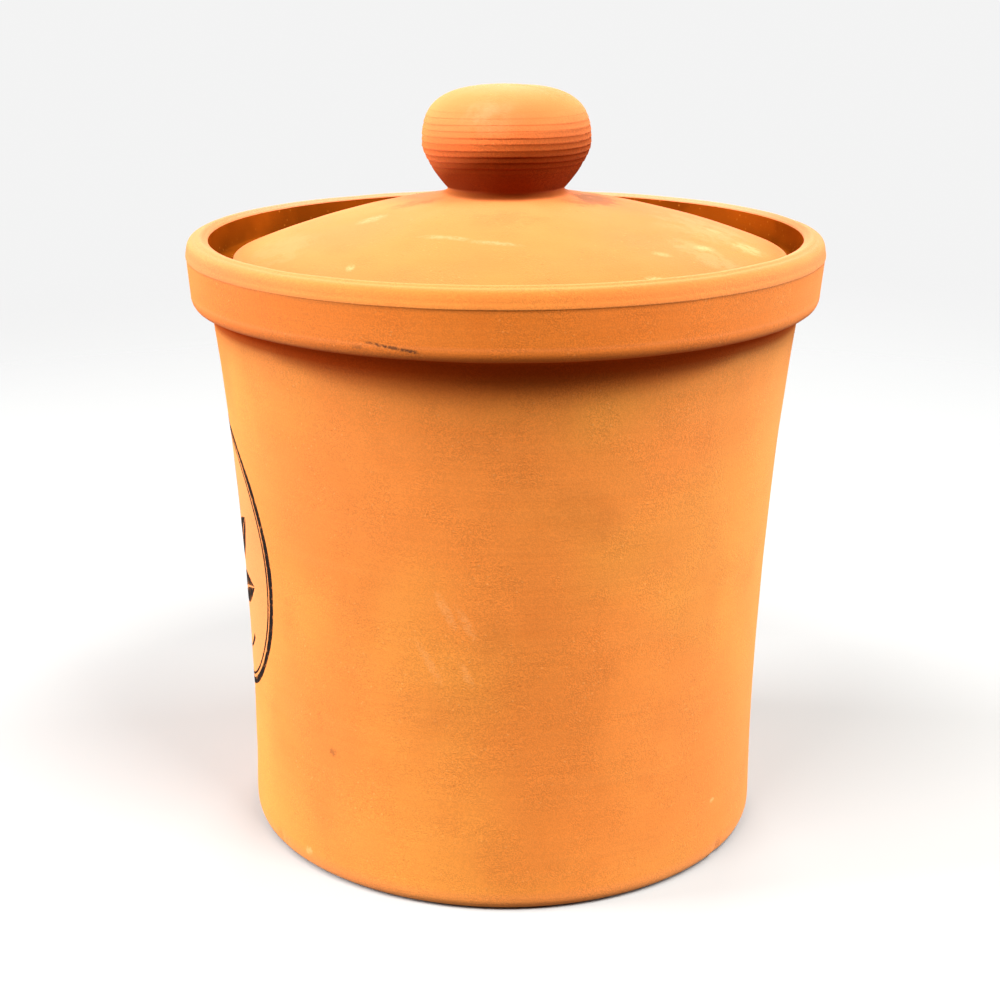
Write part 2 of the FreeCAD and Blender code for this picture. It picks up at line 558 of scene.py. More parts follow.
@dataclass(frozen=True)
class Mottle:
    """The soft mottling of the firing and the faint level lines left by turning.

    Scales are waves for each metre, and each range is where a mask rises.
    """

    patch_scale: float = 32.0
    patch_warp: float = 0.6
    patch_range: Range = (0.34, 0.66)
    stain_scale: float = 88.0
    stain_squash: float = 0.7
    stain_range: Range = (0.5, 0.74)
    hue_scale: float = 21.0
    hue_range: Range = (0.36, 0.64)
    line_scale: float = 420.0
    line_length: float = 25.0
    line_range: Range = (0.25, 0.75)

    def build(self) -> bpy.types.NodeTree:
        """Build the node group.

        Returns:
            The group.
        """
        sheet, source, sink = new_group(
            "mottle",
            {"Place": (Socket.VECTOR, None), "Patch Scale": (Socket.NUMBER, self.patch_scale),
             "Offset": (Socket.VECTOR, (0.0, 0.0, 0.0))},
            ("Patches", "Stain", "Hue", "Turning"))
        moved = sheet.add("VectorMath", {0: source.outputs["Place"], 1: source.outputs["Offset"]},
                          operation="ADD").outputs[0]
        level = sheet.stretched(moved, (1.0 / self.line_length, 1.0 / self.line_length, 1.0))
        squashed = sheet.stretched(moved, (1.0, 1.0, self.stain_squash))
        patches = sheet.noise(moved, source.outputs["Patch Scale"], distortion=self.patch_warp)
        stain = sheet.noise(squashed, self.stain_scale)
        hue = sheet.noise(moved, self.hue_scale, detail=2.0)
        turning = sheet.noise(level, self.line_scale, roughness=0.7)
        for key, value, low_high in (
                ("Patches", patches, self.patch_range), ("Stain", stain, self.stain_range),
                ("Hue", hue, self.hue_range), ("Turning", turning, self.line_range)):
            sheet.feed(sink, key, sheet.ramp(value, *low_high))
        return sheet.tree


@dataclass(frozen=True)
class SmearSpot:
    """One soft smear: a stretched, turned spot whose edge is broken up by noise.

    The mask is a smooth step of (near (broken + lift) - threshold) / softness, where near falls
    smoothly from 1 in the middle to 0 at the rim.
    """

    broken_range: Range = (0.3, 0.7)
    lift: float = 0.3

    def build(self) -> bpy.types.NodeTree:
        """Build the node group.

        Returns:
            The group.
        """
        sheet, source, sink = new_group(
            "smear",
            {"Place": (Socket.VECTOR, None), "Centre": (Socket.VECTOR, (0.0, 0.0, 0.0)),
             "Turn": (Socket.VECTOR, (0.0, 0.0, 0.0)), "Size": (Socket.VECTOR, (1.0, 1.0, 1.0)),
             "Break Scale": (Socket.NUMBER, 900.0), "Threshold": (Socket.NUMBER, 0.5),
             "Softness": (Socket.NUMBER, 0.4)},
            ("Mask",))
        place = source.outputs["Place"]
        local = sheet.add("Mapping", {"Vector": place, "Location": source.outputs["Centre"],
                                      "Rotation": source.outputs["Turn"],
                                      "Scale": source.outputs["Size"]}, vector_type="TEXTURE")
        distance = sheet.add("VectorMath", {0: local.outputs[0]}, operation="LENGTH")
        near = sheet.ramp(distance.outputs["Value"], 1.0, 0.0)
        coarse = sheet.noise(place, source.outputs["Break Scale"], detail=4.0, roughness=0.75)
        broken = sheet.ramp(coarse, *self.broken_range)
        total = sheet.math("MULTIPLY", near, sheet.math("ADD", broken, self.lift))
        excess = sheet.math("SUBTRACT", total, source.outputs["Threshold"])
        share = sheet.math("DIVIDE", excess, source.outputs["Softness"])
        sheet.feed(sink, "Mask", sheet.ramp(share, 0.0, 1.0))
        return sheet.tree


@dataclass(frozen=True)
class Effects:
    """The node groups that the finishes share."""

    grain: bpy.types.NodeTree
    mottle: bpy.types.NodeTree
    smear: bpy.types.NodeTree


@dataclass(frozen=True)
class Smear:
    """One mark rubbed onto a clay surface, placed in the model's frame."""

    centre: Point
    size: Point
    turn: Point
    colour: Colour
    strength: float = 0.5
    break_scale: float = 1100.0
    threshold: float = 0.12
    softness: float = 0.75


def rgba(colour: Colour) -> tuple[float, float, float, float]:
    """Add a full alpha to a colour."""
    return (*colour, 1.0)


def new_material(name: str) -> tuple[bpy.types.Material, Sheet, bpy.types.Node]:
    """Start a material.

    Args:
        name: The material's name.

    Returns:
        The material, its sheet and its shader node.
    """
    material = bpy.data.materials.new(name)
    material.use_nodes = True
    return material, Sheet(material.node_tree), material.node_tree.nodes["Principled BSDF"]


@dataclass(frozen=True)
class ClayFinish:
    """Unglazed fired clay: mottled, sandy and matte, with worn edges and rubbed marks, and with
    painted shade and painted highlights where the mesh's masks say.
    """

    name: str
    base: Colour
    warm: Colour
    deep: Colour
    redder: Colour
    pale: Colour
    dust: Colour
    # Colour of the painted shade.
    painted_shade: Colour
    # Colour of the painted highlight, also used for the paler tint inside the print's oval.
    painted_highlight_and_tint: Colour = (0.88, 0.31, 0.15)
    patch_offset: Point = (0.0, 0.0, 0.0)
    patch_share: float = 0.22
    stain_share: float = 0.17
    turning_share: float = 0.05
    grit_share: float = 0.6
    wear_share: float = 0.7
    speckle_depth: float = 0.11
    sand_depth: float = 0.16
    roughness: float = 0.88
    roughness_spread: float = 0.06
    diffuse_roughness: float = 0.9
    specular: float = 0.08
    relief: float = 0.00006
    relief_strength: float = 0.55
    turning_relief: float = 0.7
    sheen: Colour = (1.0, 0.78, 0.60)
    sheen_weight: float = 0.16
    sheen_roughness: float = 0.6
    # The gallery's glaze colour, also laid on the unglazed seat as painted shade.
    glaze_and_seat_shade: Colour | None = None
    glaze_grit: float = 0.8
    glaze_shade: float = 0.55
    glaze_range: Range = (0.4, 0.6)
    glaze_wander: float = 0.5
    glaze_scale: float = 420.0
    smears: tuple[Smear, ...] = ()

    def build(self, effects: Effects) -> bpy.types.Material:
        """Build the material.

        Args:
            effects: The shared node groups.

        Returns:
            The material.
        """
        material, sheet, shader = new_material(self.name)
        place = sheet.add("TexCoord").outputs["Object"]
        grain = sheet.group(effects.grain, {"Place": place}).outputs
        mottle = sheet.group(effects.mottle, {"Place": place, "Offset": self.patch_offset}).outputs
        colour = self._clay_colour(sheet, grain, mottle)
        colour = self._rub(sheet, effects, place, colour)
        # Sheen and specular are turned down where shade is painted and, below, where glazed.
        bare = sheet.math("SUBTRACT", 1.0, sheet.attribute("painted_shade"), clamp=True)
        if self.glaze_and_seat_shade is not None:
            mask = self._glaze_and_seat_shade_mask(sheet, place)
            dark = tuple(self.glaze_shade * channel for channel in self.glaze_and_seat_shade)
            glaze_and_seat_shade = sheet.mix(mottle["Patches"], rgba(self.glaze_and_seat_shade), rgba(dark))
            grit = sheet.math("MULTIPLY", grain["Pale Grit"], self.glaze_grit)
            colour = sheet.mix(mask, colour, sheet.mix(grit, glaze_and_seat_shade, rgba(self.base)))
            bare = sheet.math("MULTIPLY", bare, sheet.math("SUBTRACT", 1.0, mask))
        lines = sheet.math("MULTIPLY", mottle["Turning"], self.turning_relief)
        bump = sheet.add("Bump", {"Height": sheet.math("ADD", grain["Height"], lines),
                                  "Strength": self.relief_strength, "Distance": self.relief})
        roughness = sheet.ramp(grain["Speckle"], 0.0, 1.0, self.roughness - self.roughness_spread,
                               self.roughness + self.roughness_spread)
        for key, value in (
                ("Base Color", colour), ("Roughness", roughness),
                ("Normal", bump.outputs["Normal"]),
                ("Diffuse Roughness", self.diffuse_roughness),
                ("Specular IOR Level", sheet.math("MULTIPLY", bare, self.specular)),
                ("Sheen Weight", sheet.math("MULTIPLY", bare, self.sheen_weight)),
                ("Sheen Roughness", self.sheen_roughness), ("Sheen Tint", rgba(self.sheen))):
            sheet.feed(shader, key, value)
        return material

    def _clay_colour(self, sheet: Sheet, grain: dict, mottle: dict) -> bpy.types.NodeSocket:
        """Lay the clay's own colours, the painted highlight and the painted shade over each other,
        and shade them by the speckle.

        Args:
            sheet: The material's sheet.
            grain: The grain group's outputs.
            mottle: The mottle group's outputs.

        Returns:
            The colour.
        """
        colour = sheet.mix(mottle["Hue"], rgba(self.base), rgba(self.warm))
        patches = sheet.math("MULTIPLY", mottle["Patches"], self.patch_share)
        stains = sheet.math("MULTIPLY", mottle["Stain"], self.stain_share)
        for share, over in (
                (sheet.math("ADD", patches, stains), self.deep),
                (sheet.attribute("tone_and_knob_shade"), self.redder),
                (sheet.math("MULTIPLY", mottle["Turning"], self.turning_share), self.pale),
                (sheet.math("MULTIPLY", grain["Pale Grit"], self.grit_share), self.pale),
                (grain["Dark Grit"], self.deep),
                (sheet.math("MULTIPLY", sheet.attribute("wear_and_pale_line"), self.wear_share), self.dust),
                # The last two layers are the painted highlight and the painted shade.
                (sheet.attribute("painted_highlight_and_tint"), self.painted_highlight_and_tint),
                (sheet.attribute("painted_shade"), self.painted_shade)):
            colour = sheet.mix(share, colour, rgba(over))
        sand = sheet.math("MULTIPLY", sheet.attribute("sand"), self.sand_depth)
        depth = sheet.math("ADD", sand, self.speckle_depth)
        speckle = sheet.ramp(grain["Speckle"], 0.0, 1.0, -1.0, 1.0)
        shade = sheet.math("ADD", sheet.math("MULTIPLY", speckle, depth), 1.0)
        return sheet.add("VectorMath", {0: colour, 3: shade}, operation="SCALE").outputs[0]

    def _rub(self, sheet: Sheet, effects: Effects, place: bpy.types.NodeSocket,
             colour: bpy.types.NodeSocket) -> bpy.types.NodeSocket:
        """Lay each smear over the colour.

        Args:
            sheet: The material's sheet.
            effects: The shared node groups.
            place: The place on the object.
            colour: The colour so far.

        Returns:
            The colour with the smears.
        """
        for smear in self.smears:
            mask = sheet.group(effects.smear, {
                "Place": place, "Centre": smear.centre, "Turn": smear.turn, "Size": smear.size,
                "Break Scale": smear.break_scale, "Threshold": smear.threshold,
                "Softness": smear.softness}).outputs["Mask"]
            share = sheet.math("MULTIPLY", mask, smear.strength)
            colour = sheet.mix(share, colour, rgba(smear.colour))
        return colour

    def _glaze_and_seat_shade_mask(self, sheet: Sheet, place: bpy.types.NodeSocket) -> bpy.types.NodeSocket:
        """Mask the brown glaze of the gallery, whose edge wanders a little, and the glaze colour
        laid on the unglazed seat as painted shade.

        Args:
            sheet: The material's sheet.
            place: The place on the object.

        Returns:
            The mask.
        """
        wander = sheet.math("SUBTRACT", sheet.noise(place, self.glaze_scale), 0.5)
        wander = sheet.math("MULTIPLY", wander, self.glaze_wander)
        edge = sheet.math("ADD", sheet.attribute("glaze_and_seat_shade"), wander)
        return sheet.ramp(edge, *self.glaze_range)


@dataclass(frozen=True)
class InkFinish:
    """Fired print: near-black, with the clay's grain showing through where it is thin."""

    name: str
    ink: Colour
    clay: Colour
    thin_scale: float = 700.0
    thin_range: Range = (0.62, 0.76)
    most_clay: float = 0.85
    thin_edge: float = 0.16
    relief: float = 0.00005
    relief_strength: float = 0.5
    roughness: float = 0.75
    specular: float = 0.08

    def build(self, effects: Effects) -> bpy.types.Material:
        """Build the material.

        Args:
            effects: The shared node groups.

        Returns:
            The material.
        """
        material, sheet, shader = new_material(self.name)
        place = sheet.add("TexCoord").outputs["Object"]
        grain = sheet.group(effects.grain, {"Place": place}).outputs
        thin = sheet.noise(place, self.thin_scale, detail=4.0, roughness=0.7)
        edge = sheet.math("MULTIPLY", sheet.attribute("edge"), self.thin_edge)
        share = sheet.ramp(sheet.math("ADD", thin, edge), *self.thin_range, 0.0, self.most_clay)
        bump = sheet.add("Bump", {"Height": grain["Height"], "Strength": self.relief_strength,
                                  "Distance": self.relief})
        for key, value in (("Base Color", sheet.mix(share, rgba(self.ink), rgba(self.clay))),
                           ("Normal", bump.outputs["Normal"]), ("Roughness", self.roughness),
                           ("Specular IOR Level", self.specular)):
            sheet.feed(shader, key, value)
        return material


@dataclass(frozen=True)
class FloorFinish:
    """Plain pale floor that keeps the object's shadow and fades into the surroundings."""

    name: str
    colour: Colour
    unseen: Colour
    fade: Range = (0.22, 0.75)
    roughness: float = 0.9
    specular: float = 0.1

    def build(self) -> bpy.types.Material:
        """Build the material: pale to the camera, darker to the light it throws back.

        Returns:
            The material.
        """
        material, sheet, shader = new_material(self.name)
        seen = sheet.add("LightPath").outputs["Is Camera Ray"]
        sheet.feed(shader, "Base Color", sheet.mix(seen, rgba(self.unseen), rgba(self.colour)))
        sheet.feed(shader, "Roughness", self.roughness)
        sheet.feed(shader, "Specular IOR Level", self.specular)
        place = sheet.add("TexCoord").outputs["Object"]
        distance = sheet.add("VectorMath", {0: place}, operation="LENGTH").outputs["Value"]
        share = sheet.math("MULTIPLY", seen, sheet.ramp(distance, *self.fade))
        clear = sheet.add("BsdfTransparent").outputs[0]
        both = sheet.add("MixShader", {0: share, 1: shader.outputs[0], 2: clear})
        sheet.feed(material.node_tree.nodes["Material Output"], "Surface", both.outputs[0])
        return material


# ---------------------------------------------------------------- pieces


@dataclass
class Jar:
    """The jar: foot, flaring wall, collar band, lip and gallery, closed over by the seat.

    The fields from glaze_edge on say where the finish changes, and how much.
    """

    height: float
    lip_radius: float
    seat_height: float
    waist_radius: float = 58.75 * MM
    waist_height: float = 19.5 * MM
    shoulder_inset: float = 5.0 * MM
    foot_round: float = 3.2 * MM
    wall_rows: int = 84
    collar_depth: float = 14.1 * MM
    collar_round: Range = (2.4 * MM, 2.9 * MM)
    collar_low_inset: float = 0.75 * MM
    collar_top_inset: float = 0.14 * MM
    step_drop: float = 3.6 * MM
    step_height: float = 0.18 * MM
    step_inset: float = 0.05 * MM
    ridge_height: float = 0.9 * MM
    lip_hollow: float = 0.16 * MM
    lip_rise: float = 0.3 * MM
    lip_round: float = 1.9 * MM
    lip_crown: float = 0.4 * MM
    lip_inner_round: float = 0.7 * MM
    lip_width: float = 4.7 * MM
    gallery_taper: float = 1.0 * MM
    seat_round: float = 0.5 * MM
    seat_width: float = 6.0 * MM
    segments: int = 504
    top_lean: float = 0.004
    lean_start: float = 0.45
    print_angle: float = math.radians(186.3)
    print_height: float = 64.1 * MM
    print_reach: Range = (28.0 * MM, 32.5 * MM)
    lumps: Ripple = Ripple(0.1 * MM, 4, 70.0 * MM, 11)
    dimples: Ripple = Ripple(0.03 * MM, 30, 14.0 * MM, 12, 24)
    foot_calm: float = 6.0 * MM
    out_of_round: float = 0.12 * MM
    oval_phase: float = 0.6
    chips: tuple[tuple[float, float, float, float], ...] = (
        (212.0, 2.6, 0.45, 1.1), (214.5, 2.2, 0.3, 0.8), (325.0, 2.2, 0.5, 1.2),
        (66.0, 2.0, 0.4, 1.0), (141.0, 2.5, 0.35, 1.3))
    glaze_edge: Range = (0.3 * MM, 0.35 * MM)
    # Share of the glaze colour laid on the unglazed seat: painted shade.
    seat_painted_shade: float = 0.75
    worn_depth: float = 0.9 * MM
    lip_wear: float = 0.35
    foot_wear: float = 0.5
    # A paler line low on the band.
    band_pale_line: float = 0.5
    band_pale_span: tuple[Range, Range] = ((2.1 * MM, 2.7 * MM), (2.9 * MM, 3.6 * MM))
    band_redness: float = 0.6
    # Painted highlight on the lip at the back and the sides; paler tint inside the print's oval.
    back_painted_highlight: Range = (-0.2, 0.7)
    side_painted_highlight: float = 0.35
    print_tint: float = 0.3
    print_tint_edge: Range = (0.9, 1.0)
    # Painted shade: a shadow on the wall under the band, and a darker band edge and lip sides.
    wall_painted_shade: float = 0.95
    wall_shade_start: float = 2.0 * MM
    wall_shade_reach: Range = (5.0 * MM, 12.0 * MM)
    wall_shade_narrowing: float = 22.0 * MM
    band_painted_shade: float = 0.9
    band_shade_loss: float = 0.65
    band_shade_ranges: tuple[Range, Range] = ((0.0, 1.2 * MM), (1.0 * MM, 3.2 * MM))
    lip_shade: float = 0.14

    @property
    def shoulder_height(self) -> float:
        """Height of the collar's lower edge."""
        return self.height - self.collar_depth

    @property
    def mouth_radius(self) -> float:
        """Radius of the opening inside the lip."""
        return self.lip_radius - self.lip_width

    def wall_radius(self, height: np.ndarray | float) -> np.ndarray | float:
        """Give the wall's radius: waist + flare (height - waist height)^2.

        Args:
            height: Heights above the base.

        Returns:
            The radius at each height.
        """
        shoulder = self.lip_radius - self.shoulder_inset
        flare = (shoulder - self.waist_radius) / (self.shoulder_height - self.waist_height) ** 2
        return self.waist_radius + flare * (height - self.waist_height) ** 2

    def section(self) -> tuple[np.ndarray, np.ndarray]:
        """Draw the half section from the middle of the underside up, over the lip and back in.

        Returns:
            The section's points, and the zone of each.
        """
        draw = Section((0.0, 0.0))
        foot = self.wall_radius(0.0)
        draw.line((foot - self.foot_round, 0.0), 5, Zone.UNDERSIDE)
        draw.bend((foot, 0.0), (self.wall_radius(self.foot_round), self.foot_round), 8, Zone.FOOT)
        heights = np.linspace(self.foot_round, self.shoulder_height, self.wall_rows)[1:]
        draw.follow(np.stack([self.wall_radius(heights), heights], axis=-1), Zone.WALL)
        self._draw_collar(draw)
        self._draw_lip(draw)
        seat, level = self.mouth_radius - self.gallery_taper, self.seat_height
        draw.line((seat + 0.15 * MM, level + self.seat_round), 8, Zone.GALLERY)
        draw.bend((seat, level), (seat - self.seat_round, level), 3, Zone.SEAT)
        draw.line((seat - self.seat_width, level), 8, Zone.SEAT)
        draw.line((0.0, level), 5, Zone.SEAT)
        return draw.arrays()

    def _draw_collar(self, draw: Section) -> None:
        """Draw the band: underside, rounded lower edge and leaning face, up to a small step.

        Args:
            draw: The section, which has reached the top of the wall.
        """
        low = self.lip_radius - self.collar_low_inset
        bottom, start = self.shoulder_height, draw.here[0]
        width, rise = self.collar_round
        draw.bend((start + 0.3 * MM, bottom), (start + 1.0 * MM, bottom), 3, Zone.COLLAR)
        draw.line((low - width, bottom), 3, Zone.COLLAR)
        draw.bend((low, bottom), (low, bottom + rise), 9, Zone.COLLAR)
        draw.line((self.lip_radius - self.collar_top_inset, self.height - self.step_drop), 12,
                  Zone.COLLAR)

    def _draw_lip(self, draw: Section) -> None:
        """Draw the step's underside, the faint ridge, the rounded side and the crowned top.

        Args:
            draw: The section, which has reached the top of the band.
        """
        step = self.height - self.step_drop
        under = step + self.step_height
        ridge = step + self.ridge_height
        hollow = self.lip_radius - self.lip_hollow
        inner = self.mouth_radius + self.lip_inner_round
        top = self.height + self.lip_rise
        draw.line((self.lip_radius - self.step_inset, under), 3, Zone.STEP)
        draw.bend((self.lip_radius, under), (self.lip_radius, under + 0.2 * MM), 3, Zone.LIP)
        draw.bend((self.lip_radius, ridge), (hollow, ridge + 0.4 * MM), 5, Zone.LIP)
        draw.bend((hollow - 0.1 * MM, top), (hollow - self.lip_round, top), 12, Zone.LIP)
        crown = ((hollow - self.lip_round + inner) / 2.0, top + 2.0 * self.lip_crown)
        draw.bend(crown, (inner, top), 6, Zone.LIP)
        draw.bend((self.mouth_radius, top), (self.mouth_radius, top - self.lip_inner_round), 5,
                  Zone.LIP)

    def relief(self, angle: np.ndarray, along: np.ndarray, height: np.ndarray) -> np.ndarray:
        """Give the unevenness: lumps and dimples that fade at the foot, less a few chips.

        A chip is a hollow of depth d: -d exp(-((angle gap x radius)^2 + height gap^2) / w^2).

        Args:
            angle: Angles round the axis.
            along: Lengths along the section, which the jar does not need.
            height: Heights above the base.

        Returns:
            How far the surface stands out at each place.
        """
        rise = self.lumps.height(angle, height) + self.dimples.height(angle, height)
        rise = rise + self.out_of_round * np.cos(2.0 * angle + self.oval_phase)
        rise = rise * smooth_step(0.0, self.foot_calm, height)
        for degrees, level, depth, width in self.chips:
            gap = (angle - math.radians(degrees) + math.pi) % TURN - math.pi
            reach = (gap * self.waist_radius) ** 2 + (height - level * MM) ** 2
            rise = rise - depth * MM * np.exp(-reach / (width * MM) ** 2)
        return rise

    def lean(self, points: np.ndarray) -> np.ndarray:
        """Tip the upper part a little: z grows by lean x times a smooth step of the height.

        Args:
            points: Places, with a last axis of x, y, z.

        Returns:
            The moved places.
        """
        start = self.lean_start * self.height
        moved = points.copy()
        moved[..., 2] += self.top_lean * points[..., 0] * smooth_step(
            start, self.shoulder_height, points[..., 2])
        return moved

    def skin(self, angle: np.ndarray, height: np.ndarray, proud: float) -> np.ndarray:
        """Give points on the finished wall, moved out by a small amount.

        Args:
            angle: Angles round the axis.
            height: Heights above the base, the same shape.
            proud: How far outside the wall the points lie.

        Returns:
            An array with a last axis of x, y, z.
        """
        radius = self.wall_radius(height) + self.relief(angle, 0.0 * angle, height) + proud
        points = np.stack([radius * np.cos(angle), radius * np.sin(angle), height], axis=-1)
        return self.lean(points)

    def _painted_shade_rows(self, angle: np.ndarray, rise: np.ndarray, zones: np.ndarray) -> np.ndarray:
        """Work out the painted shade: under the band, on its lower edge and on the lip's sides.

        The painted shadow on the wall reaches lowest at the front and the back.

        Args:
            angle: Angles round the axis, as a row.
            rise: Heights above the band's lower edge, as a column.
            zones: The zone of each section point.

        Returns:
            One row for each section point, from 0 for no painted shade to 1.
        """
        least, most = self.wall_shade_reach
        away = 1.0 - np.abs(np.sin(angle))
        reach = np.maximum(most - self.wall_shade_narrowing * away, least)
        wall = self.wall_painted_shade * (1.0 - smooth_step(self.wall_shade_start, reach, -rise))
        loss, end = self.band_shade_ranges
        band = self.band_painted_shade - self.band_shade_loss * smooth_step(*loss, rise)
        band = band * (1.0 - smooth_step(*end, rise))
        lip = self.lip_shade * np.cos(angle) ** 2
        return (wall * on(zones, Zone.WALL) + band * on(zones, Zone.COLLAR)
                + lip * on(zones, Zone.LIP))

    def masks(self, angle: np.ndarray, points: np.ndarray,
              zones: np.ndarray) -> dict[str, np.ndarray]:
        """Work out where the jar is glazed, where its clay is worn or redder, and where shade and
        highlights are painted.

        Worn are the lip and the foot, and a line low on the band is paler. The lip is painted
        lighter at the back and the sides, a painted highlight, and the wall is paler inside the
        print's oval. The seat is unglazed, and the glaze colour laid on it is painted shade.

        Args:
            angle: Angles round the axis, as a row.
            points: The section's points.
            zones: The zone of each.

        Returns:
            For each mask, one value or one row of values for each section point.
        """
        radius, height = points[:, :1], points[:, 1:]
        brim, rise = self.height + self.lip_rise, height - self.shoulder_height
        lip, band = on(zones, Zone.LIP), on(zones, Zone.COLLAR)
        inward, down = self.glaze_edge
        inner = (radius < self.mouth_radius + inward) & (height < brim - down)
        high = lip * smooth_step(brim - self.worn_depth, brim, height)
        worn_and_pale_line = np.maximum.reduce([high, self.lip_wear * lip, self.foot_wear * on(zones, Zone.FOOT),
                                  self.band_pale_line * band * rise_and_fall(rise, *self.band_pale_span)])
        # Painted highlight on the lip's top at the back, and on the lip's sides.
        lip_highlight = np.maximum(high * smooth_step(*self.back_painted_highlight, np.sin(angle)),
                          self.side_painted_highlight * lip * np.cos(angle) ** 2)
        oval = np.hypot((angle - self.print_angle) * self.waist_radius / self.print_reach[0],
                        (height - self.print_height) / self.print_reach[1])
        # The seat takes a share of the glaze colour as painted shade.
        return {"glaze_and_seat_shade": on(zones, Zone.GALLERY) + lip * inner
                + self.seat_painted_shade * on(zones, Zone.SEAT),
                "wear_and_pale_line": worn_and_pale_line, "painted_shade": self._painted_shade_rows(angle, rise, zones),
                "tone_and_knob_shade": self.band_redness * on(zones, Zone.COLLAR, Zone.STEP),
                "painted_highlight_and_tint": lip_highlight + self.print_tint * (1.0 - smooth_step(*self.print_tint_edge, oval))}

    def build(self) -> bpy.types.Object:
        """Make the jar's skin.

        Returns:
            The jar, not yet dressed.
        """
        points, zones = self.section()
        grid = self.lean(turned_grid(points, self.segments, self.relief))
        masks = self.masks(full_turn(self.segments), points, zones)
        return make_turning("canister_jar", grid, masks)


@dataclass
class Lid:
    """The lid: a thin edge, a dome and, turned from the same clay, a ball knob with rings.

    The fields from crown_wear on say where the finish changes, and how much. Those named tops and
    bottoms are levels in millimetres that change round the knob, as level_round says.
    """

    seat_height: float
    top_height: float
    radius: float
    shift: float
    edge_round: float = 1.2 * MM
    bevel: float = 0.3 * MM
    upright: float = 0.9 * MM
    dome_start: float = 2.0 * MM
    outer_slope: float = 0.40
    inner_slope: float = 0.17
    dome_turn: float = 0.52
    dome_rows: int = 60
    knob_radius: float = 18.5 * MM
    crown_reach: float = 12.6 * MM
    crown_power: float = 2.88
    taper_reach: float = 18.5 * MM
    taper_power: float = 1.37
    neck_drop: float = 9.2 * MM
    flare_spread: float = 7.2 * MM
    ring_pitch: float = 1.32 * MM
    ring_depth: float = 0.20 * MM
    ring_start: float = 0.4 * MM
    ring_span: Range = (-5.6 * MM, 9.4 * MM)
    ring_rows: int = 190
    ring_lip: float = 0.16
    ring_seed: int = 31
    ring_strengths: Range = (0.45, 1.0)
    ring_count: int = 64
    ring_fade: Range = (1.5 * MM, 4.5 * MM)
    knob_offset: float = -0.5 * MM
    edge_offset: float = 0.4 * MM
    offset_start: float = 5.0 * MM
    segments: int = 312
    lean_share: float = 0.004
    lumps: Ripple = Ripple(0.09 * MM, 4, 50.0 * MM, 21)
    dimples: Ripple = Ripple(0.025 * MM, 24, 9.0 * MM, 22, 24)
    edge_calm: float = 3.0 * MM
    crown_wear: float = 0.6
    crown_wear_reach: float = 6.0 * MM
    edge_wear: float = 0.4
    # Painted shade round the knob's lower half, under each ring and at the foot of the neck.
    knob_painted_shade: float = 0.9
    knob_shade_bottom: tuple[float, ...] = (4.5, 4.0, 2.0)
    knob_shade_top: tuple[float, ...] = (2.5, -2.0, 4.0)
    ring_shade_span: tuple[Range, Range] = ((-4.5 * MM, -0.5 * MM), (4.0 * MM, 8.0 * MM))
    ring_shade_power: float = 1.5
    ring_shade_middle: float = 0.4
    ring_shade_gain: Range = (0.08, 1.6)
    flare_painted_shade: Range = (0.25, 0.6)
    flare_shade_range: Range = (0.1 * MM, 1.6 * MM)
    # The knob's lower half is painted redder as painted shade, reaching higher on the right.
    knob_shade_redness: float = 0.6
    knob_shade_redness_start: float = 0.5 * MM
    knob_shade_redness_top: Range = (6.5, 4.0)
    sand_start: float = 1.0 * MM
    sand_top: Range = (7.0, 4.0)
    sand: Range = (0.6, 0.4)

    @property
    def widest_height(self) -> float:
        """Height of the knob's widest place."""
        return self.top_height - self.crown_reach

    @property
    def neck_radius(self) -> float:
        """Radius of the neck, where the knob begins."""
        return float(self.knob_outline(np.array(-self.neck_drop)))

    def knob_outline(self, rise: np.ndarray) -> np.ndarray:
        """Give the knob's radius at a rise above its widest place.

        radius = R (1 - |rise / reach|^p)^(1 / p), with its own reach and power above and below.

        Args:
            rise: Heights above the widest place.

        Returns:
            The radius at each.
        """
        reach = np.where(rise > 0, self.crown_reach, self.taper_reach)
        power = np.where(rise > 0, self.crown_power, self.taper_power)
        share = np.clip(np.abs(rise) / reach, 0.0, 1.0)
        return self.knob_radius * (1.0 - share ** power) ** (1.0 / power)

    def section(self) -> tuple[np.ndarray, np.ndarray]:
        """Draw the half section from the middle of the underside out, over the dome and up.

        Returns:
            The section's points, and the zone of each.
        """
        base = self.seat_height
        draw = Section((0.0, base))
        draw.line((self.radius - self.bevel, base), 5, Zone.UNDERSIDE)
        draw.line((self.radius, base + self.bevel), 1, Zone.EDGE)
        draw.line((self.radius, base + self.upright), 2, Zone.EDGE)
        start = (self.radius - self.edge_round, base + self.dome_start)
        draw.bend((self.radius, start[1] - self.outer_slope * self.edge_round), start, 7, Zone.EDGE)
        foot_radius = self.neck_radius + self.flare_spread
        turn_radius = foot_radius + self.dome_turn * (start[0] - foot_radius)
        turn = (turn_radius, start[1] + self.outer_slope * (start[0] - turn_radius))
        foot = (foot_radius, turn[1] + self.inner_slope * (turn_radius - foot_radius))
        draw.bend(turn, foot, self.dome_rows, Zone.DOME)
        self._draw_flare(draw, foot)
        self._draw_knob(draw)
        return draw.arrays()

    def _draw_flare(self, draw: Section, foot: tuple[float, float]) -> None:
        """Draw the flare from the dome to the neck, tangent to the dome and to the knob.

        The corner is where the dome's line meets the knob's line at the neck.

        Args:
            draw: The section, which has reached the foot of the flare.
            foot: That place.
        """
        neck = (self.neck_radius, self.widest_height - self.neck_drop)
        step = 0.01 * MM
        rises = np.array([step - self.neck_drop, -self.neck_drop])
        slope = step / float(np.ptp(self.knob_outline(rises)))
        gap = (neck[1] - slope * neck[0]) - (foot[1] + self.inner_slope * foot[0])
        corner_radius = gap / (-self.inner_slope - slope)
        corner = (corner_radius, foot[1] + self.inner_slope * (foot[0] - corner_radius))
        draw.bend(corner, neck, 16, Zone.DOME)

